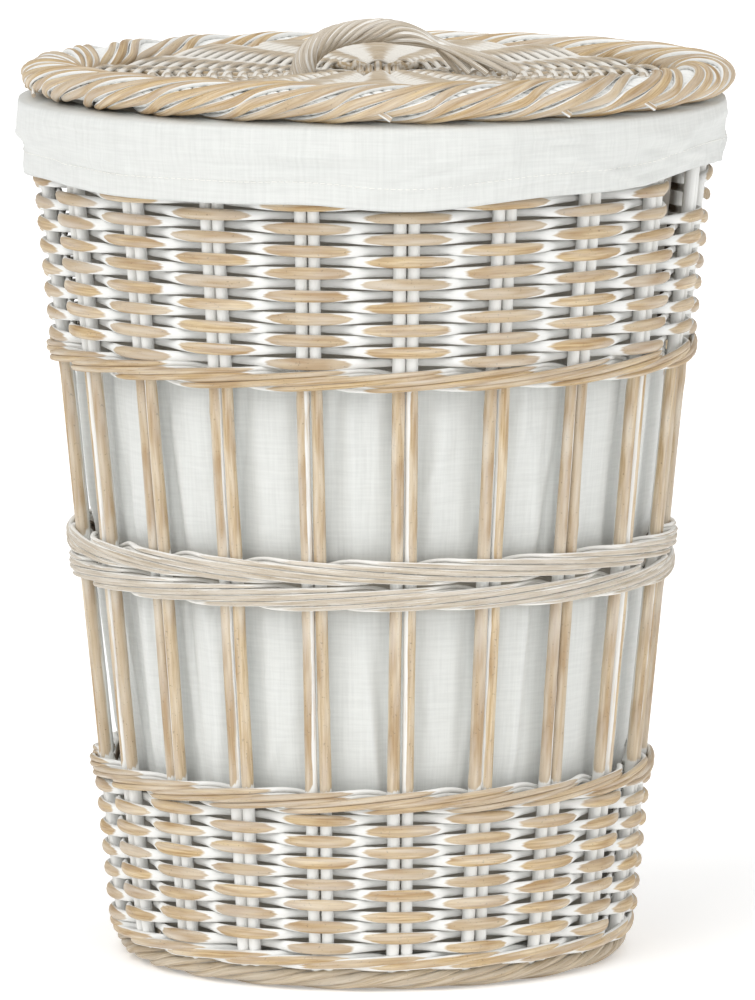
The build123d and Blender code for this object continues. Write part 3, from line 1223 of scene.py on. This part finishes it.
@dataclass
class Liner:
    """A cotton bag in the basket, with its top turned over the rim into a cuff."""

    cloth: Material
    thread: Material
    around_steps: int = 504
    thickness: float = 0.8 * MM
    hem_depth: float = 14.0 * MM
    bag_gap: float = 11.1 * MM
    bag_top: float = 200.4 * MM
    bag_end: float = 0.53
    rim_start: float = 0.5425
    cuff_inside: float = 220.9 * MM
    bag_low_radius: float = 0.18
    bag_mean_radius: float = 0.2
    cuff_mean_radius: float = 0.225
    # heights between which the cloth goes from one state to the next
    lower_bay: tuple[Span, Span] = ((0.126, 0.15), (0.232, 0.252))
    upper_bay: tuple[Span, Span] = ((0.272, 0.292), (0.366, 0.386))
    lower_pull: Span = (0.105, 0.125)
    upper_pull: Span = (0.388, 0.405)
    # the next three spans fade the painted shade on the cloth in and out behind the weave
    lower_painted_shade: Span = (0.113, 0.124)
    middle_painted_shade: tuple[Span, Span] = ((0.240, 0.252), (0.266, 0.278))
    upper_painted_shade: Span = (0.386, 0.397)

    def __post_init__(self) -> None:
        """Reads the liner's sizes from its nodes."""
        self.floor = float(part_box("liner_side")[0][2])
        self.rim = float(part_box("liner_fold")[1][2])
        self.cuff_radius = float(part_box("liner_fold")[1][1])
        self.hem_low = float(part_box("liner_hem")[0][2])
        self.bag_folds = (
            creases(110, 5, 0.05, 0.52, (-0.16, 0.16), 3.2 * MM, (0.05, 0.16), (3 * MM, 8 * MM))
            + creases(70, 6, 0.12, 0.5, (-0.8, 0.8), 1.7 * MM, (0.025, 0.07), (1.8 * MM, 4 * MM))
        )
        self.cuff_folds = (
            creases(
                64, 7, self.hem_low + 8 * MM, self.rim - 6 * MM, (1.2, 1.95), 2.0 * MM, (0.02, 0.07),
                (2.5 * MM, 5 * MM),
            )
            + creases(30, 8, self.hem_low, self.rim, (-0.5, 0.5), 1.6 * MM, (0.01, 0.03), (4 * MM, 11 * MM))
        )

    def hem_line(self, angle: np.ndarray) -> np.ndarray:
        """Finds the cuff's lower edge, which hangs unevenly: low in front, high at the sides.

        Args:
            angle: Angles from the front.

        Returns:
            The height of the edge at each.
        """
        turned = np.mod(angle - SHAPE.first_angle + math.pi, TURN) - math.pi
        rise = 5.6 * MM * (1.0 - np.exp(-((turned / 0.24) ** 2)))
        right = 8.5 * MM * np.exp(-(((turned - 1.15) / 0.5) ** 2))
        left = -2.4 * MM * np.exp(-(((turned + 0.8) / 0.3) ** 2))
        ripple = 0.9 * MM * np.sin(5.0 * angle + 0.7) + 0.6 * MM * np.sin(11.0 * angle + 2.0)
        return self.hem_low - 0.2 * MM + rise + right + left + ripple * smooth(0.1, 0.5, np.abs(turned))

    def bag_radius(self, height: np.ndarray) -> np.ndarray:
        """Radius of the taut bag at a height."""
        return SHAPE.circle(height) - self.bag_gap

    def profile(self) -> tuple[np.ndarray, np.ndarray]:
        """The cloth's section from the bag's floor seam over the rim to the hem.

        Returns:
            The points (radius, height), and the length along the cloth at each.
        """
        bag = [(self.bag_radius(h), h) for h in np.linspace(self.floor, self.bag_end, 74)]
        top = self.rim - 0.5 * self.thickness
        over = [
            (self.bag_top, self.rim_start),
            (self.bag_top + 1.2 * MM, top - 3.0 * MM),
            (self.bag_top + 4.5 * MM, top - 0.4 * MM),
        ]
        over += [(r, top) for r in np.linspace(self.bag_top + 9 * MM, self.cuff_radius - 6 * MM, 5)]
        turn = [
            (self.cuff_radius - 3.0 * MM, top - 0.5 * MM),
            (self.cuff_radius - 1.0 * MM, top - 2.4 * MM),
            (self.cuff_radius - 0.4 * MM, top - 5.2 * MM),
        ]
        cuff = [(self.cuff_radius - 0.4 * MM, h) for h in np.linspace(top - 8.0 * MM, self.hem_low, 24)]
        points = np.array(bag + over + turn + cuff, float)
        run = np.concatenate([[0.0], np.cumsum(np.linalg.norm(np.diff(points, axis=0), axis=1))])
        return points, run

    def shape(
        self, angle: np.ndarray, radius: np.ndarray, height: np.ndarray, cuff: np.ndarray
    ) -> tuple[np.ndarray, np.ndarray]:
        """Hangs the cloth: folds in the bag, and a loose uneven cuff.

        Args:
            angle: Angle of each point.
            radius: Its radius on the plain section.
            height: Its height on the plain section.
            cuff: Whether it belongs to the cuff.

        Returns:
            The new radius and height of each point.
        """
        folds = sum(crease.push(angle, height, self.bag_low_radius) for crease in self.bag_folds)
        # between two pairs the cloth bellies out, and it is held back where it meets them
        near_stake = np.cos((angle - SHAPE.first_angle) * SHAPE.pairs)
        belly = -0.7 * MM * (near_stake * 0.5 + 0.5)
        open_zone = rise_and_fall(*self.lower_bay, height) + rise_and_fall(*self.upper_bay, height)
        covered = (1.0 - smooth(*self.lower_pull, height)) + smooth(*self.upper_pull, height)
        slack = -1.2 * MM - 6.5 * MM * covered + np.clip(folds, -5.0 * MM, 2.4 * MM) * (1.0 - 0.6 * covered)
        puff = open_zone * (1.0 - smooth(-0.6, 0.5, near_stake)) * 2.6 * MM
        bag_radius = radius + (slack + belly + puff) * smooth(0.0, 0.02, height - self.floor)
        low = self.hem_line(angle)
        share = np.clip((self.rim - height) / (self.rim - self.hem_low), 0.0, 1.0)
        cuff_height = self.rim - (self.rim - low) * share
        cuff_push = sum(crease.push(angle, cuff_height, self.cuff_mean_radius) for crease in self.cuff_folds)
        lean = -4.6 * MM * smooth(0.25, 1.0, share)
        wave = 0.8 * MM * np.sin(7 * angle + 1.0) * share
        wave = wave + 0.6 * MM * np.sin(13 * angle + 9.0 * share) * share
        seam = -0.5 * MM * np.exp(-(((cuff_height - low - self.hem_depth) / (1.0 * MM)) ** 2))
        cuff_radius = radius + (cuff_push + wave) * smooth(0.05, 0.3, share) + lean + seam
        cuff_radius = np.maximum(cuff_radius, self.cuff_inside)
        return np.where(cuff, cuff_radius, bag_radius), np.where(cuff, cuff_height, height)

    def painted_shade_share(self, height: np.ndarray, near_rim: np.ndarray) -> np.ndarray:
        """How far the weave covers the cloth: behind both bands and the middle wales, from 0 to 1.

        Args:
            height: Height of each point.
            near_rim: Whether it lies near the rim or on the cuff, which gets only a little painted shade.

        Returns:
            The value of each point.
        """
        behind = (1.0 - smooth(*self.lower_painted_shade, height)) + smooth(*self.upper_painted_shade, height)
        behind = behind + rise_and_fall(*self.middle_painted_shade, height)
        return np.where(near_rim, 0.07, behind)

    def build_cloth(self) -> bpy.types.Object:
        """The bag and its cuff, as one sheet.

        Returns:
            The piece.
        """
        section, run = self.profile()
        mesh = bmesh.new()
        length = mesh.verts.layers.float.new("run")
        verts = []
        for (radius, height), distance in zip(section, run):
            vert = mesh.verts.new((0.0, -radius, height))
            vert[length] = distance
            verts.append(vert)
        edges = [mesh.edges.new(pair) for pair in zip(verts, verts[1:])]
        bmesh.ops.spin(
            mesh, geom=verts + edges, cent=(0, 0, 0), axis=(0, 0, 1), angle=TURN,
            steps=self.around_steps, use_merge=True,
        )
        bmesh.ops.recalc_face_normals(mesh, faces=mesh.faces)
        painted_shade = mesh.verts.layers.float.new("painted_shade")
        flat = np.array([(*v.co, v[length]) for v in mesh.verts])
        angle = np.arctan2(flat[:, 0], -flat[:, 1])
        radius = np.hypot(flat[:, 0], flat[:, 1])
        fold = run[np.searchsorted(section[:, 0], self.cuff_radius - 2.0 * MM)]
        radius, height = self.shape(angle, radius, flat[:, 2], flat[:, 3] > fold)
        # painted shade: darkens the cloth's colour behind the weave, and a little on the cuff
        behind = self.painted_shade_share(height, flat[:, 3] > fold - 30.0 * MM)
        for vert, place, value in zip(mesh.verts, around(radius, angle, height), behind):
            vert.co = place
            vert[painted_shade] = float(value)
        uv = mesh.loops.layers.uv.new("UVMap")
        for face in mesh.faces:
            turns = [math.atan2(v.co.x, -v.co.y) for v in face.verts]
            wraps = max(turns) - min(turns) > math.pi
            for corner, turn in zip(face.loops, turns):
                turn = turn + TURN if wraps and turn < 0.0 else turn
                corner[uv].uv = (turn * self.bag_mean_radius, corner.vert[length])
        piece = new_piece("cotton_bag_and_cuff", mesh, self.cloth)
        return self.thicken(piece)

    def build_base(self) -> bpy.types.Object:
        """The round floor of the bag, slightly puckered at its seam.

        Returns:
            The piece.
        """
        low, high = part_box("liner_base")
        radius = float(high[0]) - 1.0 * MM
        mesh = bmesh.new()
        bmesh.ops.create_circle(mesh, cap_ends=True, cap_tris=False, segments=96, radius=radius)
        uv = mesh.loops.layers.uv.new("UVMap")
        chance = np.random.default_rng(3)
        waves = chance.uniform(0, TURN, 6)
        for vert in mesh.verts:
            turn = math.atan2(vert.co.x, -vert.co.y)
            pucker = sum(math.sin((9 + 4 * k) * turn + waves[k]) for k in range(6)) / 6.0
            vert.co.z = float(low[2] + high[2]) / 2.0 + 0.5 * MM * pucker
        for face in mesh.faces:
            for corner in face.loops:
                corner[uv].uv = corner.vert.co.xy
        bmesh.ops.recalc_face_normals(mesh, faces=mesh.faces)
        piece = new_piece("cotton_bag_floor", mesh, self.cloth)
        return self.thicken(piece)

    def thicken(self, piece: bpy.types.Object) -> bpy.types.Object:
        """Gives a sheet its thickness, half to each side.

        Args:
            piece: The sheet.

        Returns:
            The same sheet.
        """
        wall = piece.modifiers.new("thickness", "SOLIDIFY")
        wall.thickness = self.thickness
        wall.offset = 0.0
        return piece

    def build_stitches(self, cloth: bpy.types.Object) -> bpy.types.Object:
        """A row of running stitches that holds the hem.

        Args:
            cloth: The cloth they go through.

        Returns:
            The piece.
        """
        pitch, stitch = 4.4 * MM, 3.0 * MM
        count = int(TURN * self.cuff_radius / pitch)
        turns = np.linspace(0.0, TURN, count, endpoint=False)
        surface = np.array([v.co for v in cloth.data.vertices])
        edge = surface[np.hypot(surface[:, 0], surface[:, 1]) > self.cuff_inside - 1.4 * MM]
        edge_angle = np.mod(np.arctan2(edge[:, 0], -edge[:, 1]), TURN)
        target = self.hem_line(turns) + self.hem_depth
        strands = []
        for turn, height in zip(turns, target):
            gap = np.abs(np.mod(edge_angle - turn + math.pi, TURN) - math.pi) * self.cuff_mean_radius
            nearest = edge[np.argmin(gap ** 2 + (edge[:, 2] - height) ** 2)]
            radius = math.hypot(nearest[0], nearest[1]) + self.thickness / 2.0
            half = stitch / 2.0 / radius
            run = np.array([-1.0, -0.6, 0.6, 1.0])
            bow = radius + np.array([-0.25, 0.2, 0.2, -0.25]) * MM
            strands.append(Strand(around(bow, turn + half * run, np.full(4, height)), 1.0, 0.0, 0.5))
        thread = Section(0.3 * MM, 0.3 * MM, 5)
        return lay("hem_stitches", strands, thread, lambda p: np.zeros(len(p)), self.thread)

    def build(self) -> None:
        """Makes the liner."""
        cloth = self.build_cloth()
        put(cloth, "liner", "natural_cotton", "liner_side", "liner_fold", "liner_cuff", "liner_hem")
        floor = self.build_base()
        put(floor, "liner", "natural_cotton", "liner_base")
        put(self.build_stitches(cloth), "liner", "natural_cotton")


def new_piece(name: str, mesh: bmesh.types.BMesh, finish: Material) -> bpy.types.Object:
    """Turns a bmesh into an object in the scene and frees it.

    Args:
        name: The piece's name.
        mesh: Its mesh.
        finish: Its material.

    Returns:
        The object.
    """
    data = bpy.data.meshes.new(name)
    mesh.to_mesh(data)
    mesh.free()
    data.materials.append(finish)
    data.shade_smooth()
    return link(bpy.data.objects.new(name, data))


# ---------------------------------------------------------------- the studio


@dataclass(frozen=True)
class Studio:
    """A pale floor, soft light from both sides and a long lens."""

    camera_distance: float = 5.9
    camera_height: float = 1.08
    aim: tuple[float, float, float] = (0.0035, 0.0, 0.2894)
    focal_length: float = 335.3
    world: float = 0.47

    def build_camera(self) -> None:
        """Places the camera."""
        data = bpy.data.cameras.new("camera")
        data.lens = self.focal_length
        data.sensor_width = 36.0
        data.clip_end = 100.0
        camera = link(bpy.data.objects.new("camera", data))
        camera.location = (0.0, -self.camera_distance, self.camera_height)
        aim = Vector(self.aim) - camera.location
        camera.rotation_euler = aim.to_track_quat("-Z", "Y").to_euler()
        bpy.context.scene.camera = camera

    def build_floor(self) -> None:
        """Makes the floor."""
        mesh = bmesh.new()
        bmesh.ops.create_grid(mesh, x_segments=8, y_segments=8, size=30.0)
        shader = Shader("matt_white_paint")
        place = shader.add("TexCoord").outputs["Object"]
        tooth = shader.add("TexNoise", Vector=place, Scale=300.0)
        shader.feed(shader.surface.inputs["Normal"], shader.add("Bump", Height=tooth, Strength=0.02))
        shader.surface.inputs["Base Color"].default_value = linear("#FEFEFE")
        shader.surface.inputs["Emission Color"].default_value = (1.0, 1.0, 1.0, 1.0)
        shader.surface.inputs["Emission Strength"].default_value = 0.24
        shader.surface.inputs["Roughness"].default_value = 0.9
        floor = new_piece("floor", mesh, shader.material)

    def build_light(
        self, name: str, towards: tuple[float, float, float], softness: float, power: float
    ) -> None:
        """Adds a distant soft light, so that the floor is lit evenly as far as it goes.

        Args:
            name: Its name.
            towards: The direction from the hamper to it.
            softness: Its apparent width, in degrees.
            power: Its strength.
        """
        data = bpy.data.lights.new(name, "SUN")
        data.energy = power
        data.angle = math.radians(softness)
        light = link(bpy.data.objects.new(name, data))
        light.location = towards
        light.rotation_euler = (-Vector(towards)).to_track_quat("-Z", "Y").to_euler()

    def build(self) -> None:
        """Makes the world, the lights, the floor and the camera."""
        scene = bpy.context.scene
        world = bpy.data.worlds.new("studio")
        world.use_nodes = True
        background = world.node_tree.nodes["Background"]
        background.inputs["Color"].default_value = (1.0, 1.0, 1.0, 1.0)
        background.inputs["Strength"].default_value = self.world
        scene.world = world
        scene.view_settings.view_transform = "Standard"
        self.build_light("front_left", (-2.6, -3.0, 3.4), 50.0, 1.2)
        self.build_light("front_right", (2.8, -3.0, 2.3), 60.0, 0.56)
        self.build_light("overhead", (0.3, -0.4, 3.4), 70.0, 0.76)
        self.build_floor()
        self.build_camera()


# ---------------------------------------------------------------- the whole hamper


def build_basket(
    washed: Material, weathered: Material, rod: Material, grey: Material, sticks: dict[str, Material]
) -> None:
    """Makes the stakes, the bands, the wales, the borders and the base.

    Args:
        washed: Finish of the weave.
        weathered: Finish of the foot border.
        rod: Finish of the stakes.
        grey: Finish of the middle wales.
        sticks: Finish of the lower and upper layers of sticks, by "lower" and "upper".
    """
    Stakes(rod).build()
    thick = Section(2.4 * MM, 3.2 * MM, 10)
    Wale(
        "bottom_wale", washed, rods=1, rod=thick, rise=3.1 * MM, outside=3.6 * MM, drop=0.6 * MM, seed=21
    ).build()
    Randing("lower_weave", washed, seed=1).build()
    Wale("lower_top_wale", washed, seed=22).build()
    flat = Section(2.0 * MM, 1.6 * MM, 8)
    for node, way, drop, seed in (
        ("middle_wale_lower", Way.RIGHT, 2.4 * MM, 23), ("middle_wale_upper", Way.LEFT, 0.2 * MM, 24)
    ):
        Wale(
            node, grey, slot="grey_rattan", way=way, weavers=4, rods=2, rod=flat, rod_spacing=3.35 * MM,
            rise=5.5 * MM, drop=drop, seed=seed,
        ).build()
    Wale("upper_bottom_wale", washed, seed=25).build()
    Randing("upper_weave", washed, windowed=True, seed=2).build()
    build_side_borders(washed, weathered)
    levels = [stick_level(f"base_sticks_{layer}") for layer in sticks]
    WovenDisc("cane_base_weave", washed, 0.0, *levels, 138.0 * MM).build("basket", "base_weave")
    for layer, finish in sticks.items():
        dress_node(f"base_sticks_{layer}", finish)


def stick_level(node: str) -> float:
    """Height of the middle of a layer of sticks."""
    low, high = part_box(node)
    return float(low[2] + high[2]) / 2.0


def dress_node(node: str, finish: Material) -> None:
    """Gives a kept node a finish.

    Args:
        node: The node's name.
        finish: The material.
    """
    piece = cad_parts[node]
    piece.data.materials.clear()
    piece.data.materials.append(finish)
    log.info("%s: kept, with %s", node, finish.name)


def build_side_borders(washed: Material, weathered: Material) -> None:
    """Makes the rolled borders at the foot and at the rim.

    Args:
        washed: Finish of the rim border.
        weathered: Finish of the foot border.
    """
    low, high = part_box("foot_border")
    half = float(high[2] - low[2]) / 2.0
    RolledBorder(
        "cane_foot_border", weathered, (0.0, 0.0), 150.4 * MM, half + 1.2 * MM, 13.2 * MM, half + 1.1 * MM,
        turns=5.0, groups=4, rods=2, rod=Section(2.1 * MM, 2.8 * MM, 10), rod_spacing=5.6 * MM,
        sunk=(0.0, 0.9 * MM), first=0.35, seed=61,
    ).build("basket", "whitewashed_rattan", "foot_border")
    low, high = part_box("rim_border")
    RolledBorder(
        "cane_rim_border", washed, (0.0, 0.0), 212.0 * MM, float(low[2] + high[2]) / 2.0, 7.4 * MM, 8.0 * MM,
        turns=17.0, groups=3, rod=Section(2.6 * MM, 3.2 * MM, 8), seed=62,
    ).build("basket", "whitewashed_rattan", "rim_border")


def build_lid(
    washed: Material, pale: Material, weathered: Material, sticks: dict[str, Material], grey: Material
) -> None:
    """Makes the lid's disc, its plaited border and its handle.

    Args:
        washed: Finish of the border's outer rods.
        pale: Finish of the border's inner rods, which stay white.
        weathered: Finish of the disc's weave.
        sticks: Finish of the lower and upper layers of sticks, by "lower" and "upper".
        grey: Finish of the handle.
    """
    low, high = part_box("lid_border")
    centre = (SHAPE.lid_offset, 0.0)
    radius = float(high[1]) - 20.5 * MM
    middle = float(low[2]) + 11.6 * MM
    RolledBorder(
        "plaited_lid_border", washed, centre, radius, middle, 20.5 * MM, 11.8 * MM,
        turns=LID_LOOPS / 3, groups=3, rods=3, rod=Section(2.1 * MM, 3.2 * MM, 10), rod_spacing=6.7 * MM,
        sunk=(0.5 * MM, 0.0, 1.2 * MM), lift=0.14, first=0.2, samples_per_turn=40, seed=71,
    ).build("lid", "whitewashed_rattan", "lid_border")
    RolledBorder(
        "lid_border_filling", pale, centre, radius, middle, 16.4 * MM, 7.7 * MM,
        turns=13.0, groups=9, rod=Section(1.2 * MM, 3.25 * MM, 8), way=Way.LEFT,
        lift=0.14, samples_per_turn=18, seed=72,
    ).build("lid", "whitewashed_rattan")
    put(lid_cut_ends(washed, centre, radius, middle), "lid", "whitewashed_rattan")
    levels = [stick_level(f"lid_sticks_{layer}") for layer in sticks]
    WovenDisc(
        "cane_lid_weave", weathered, SHAPE.lid_offset, *levels, radius - 12.0 * MM, reach=3.3 * MM, seed=55
    ).build("lid", "lid_weave")
    for layer, finish in sticks.items():
        dress_node(f"lid_sticks_{layer}", finish)
    RopeHandle(grey).build()


def lid_cut_ends(
    finish: Material, centre: tuple[float, float], radius: float, middle: float
) -> bpy.types.Object:
    """The cut ends of the border's rods, which peep out under it between the loops.

    Args:
        finish: Their material.
        centre: The lid's centre.
        radius: Radius of the border's ring.
        middle: Height of its middle.

    Returns:
        The piece.
    """
    chance = random.Random(81)
    strands = []
    for number in range(LID_LOOPS):
        if chance.random() < 0.5:
            continue
        angle = TURN * (number + chance.uniform(-0.15, 0.15)) / LID_LOOPS
        run = np.linspace(0.0, 1.0, 6)
        angle = angle + run * chance.uniform(0.03, 0.045)
        points = around(radius + (15.5 + 1.6 * run) * MM, angle, middle - (3.5 + 5.6 * run) * MM)
        strands.append(Strand(points + np.array([*centre, 0.0]), 1.0, 0.0, 0.8))
    rod = Section(1.3 * MM, 1.8 * MM, 8)
    return lay("lid_border_cut_ends", strands, rod, lambda p: np.full(len(p), 0.6), finish)


def main() -> None:
    """Builds the hamper and its studio."""
    logging.basicConfig(level=logging.INFO, format="%(name)s: %(message)s")
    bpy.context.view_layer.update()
    Studio().build()
    washed = WashedRattan("whitewashed_rattan_cane").make()
    pale = WashedRattan("white_rattan_cane", wiped_from=1.1, wiped_to=1.5).make()
    rolled = WashedRattan("whitewashed_border_cane", edge_wash=0.56, streak_wash=0.4).make()
    weathered = WashedRattan(
        "weathered_rattan_cane", cane_light="#D6C6AC", cane_dark="#A89475", cane_grey="#B7A994",
        cane_deep="#9A8364", wash="#E4E0D8", wiped_from=0.12, wiped_to=0.46, streak_wash=0.7,
    ).make()
    rod = WashedRattan(
        "rattan_rod_part_washed", cane_light="#E0CDAB", cane_dark="#B6996E", wiped_from=0.28, wiped_to=0.52,
        streak_wash=0.65, edge_wash=0.0,
    ).make()
    grey = WashedRattan(
        "grey_washed_rattan", cane_light="#DACFBD", cane_dark="#B0A088", cane_grey="#C6BCAD",
        cane_deep="#9F8C6E", wash="#F3F1EC", wiped_from=0.56, wiped_to=0.74, streak_wash=1.2, edge_wash=0.34,
    ).make()
    sticks = {
        "lower": WashedStick("washed_sticks_along_x", (6.0, 420.0, 420.0)).make(),
        "upper": WashedStick("washed_sticks_along_y", (420.0, 6.0, 420.0)).make(),
    }
    lid_sticks = {
        "lower": WashedStick("weathered_sticks_along_x", (6.0, 420.0, 420.0), "#D2CABD", "#B19C7C").make(),
        "upper": WashedStick("weathered_sticks_along_y", (420.0, 6.0, 420.0), "#D2CABD", "#B19C7C").make(),
    }
    build_basket(washed, weathered, rod, grey, sticks)
    Liner(NaturalCotton("plain_weave_cotton").make(), CottonThread("cotton_thread").make()).build()
    build_lid(rolled, pale, weathered, lid_sticks, grey)


if __name__ == "__main__":
    main()
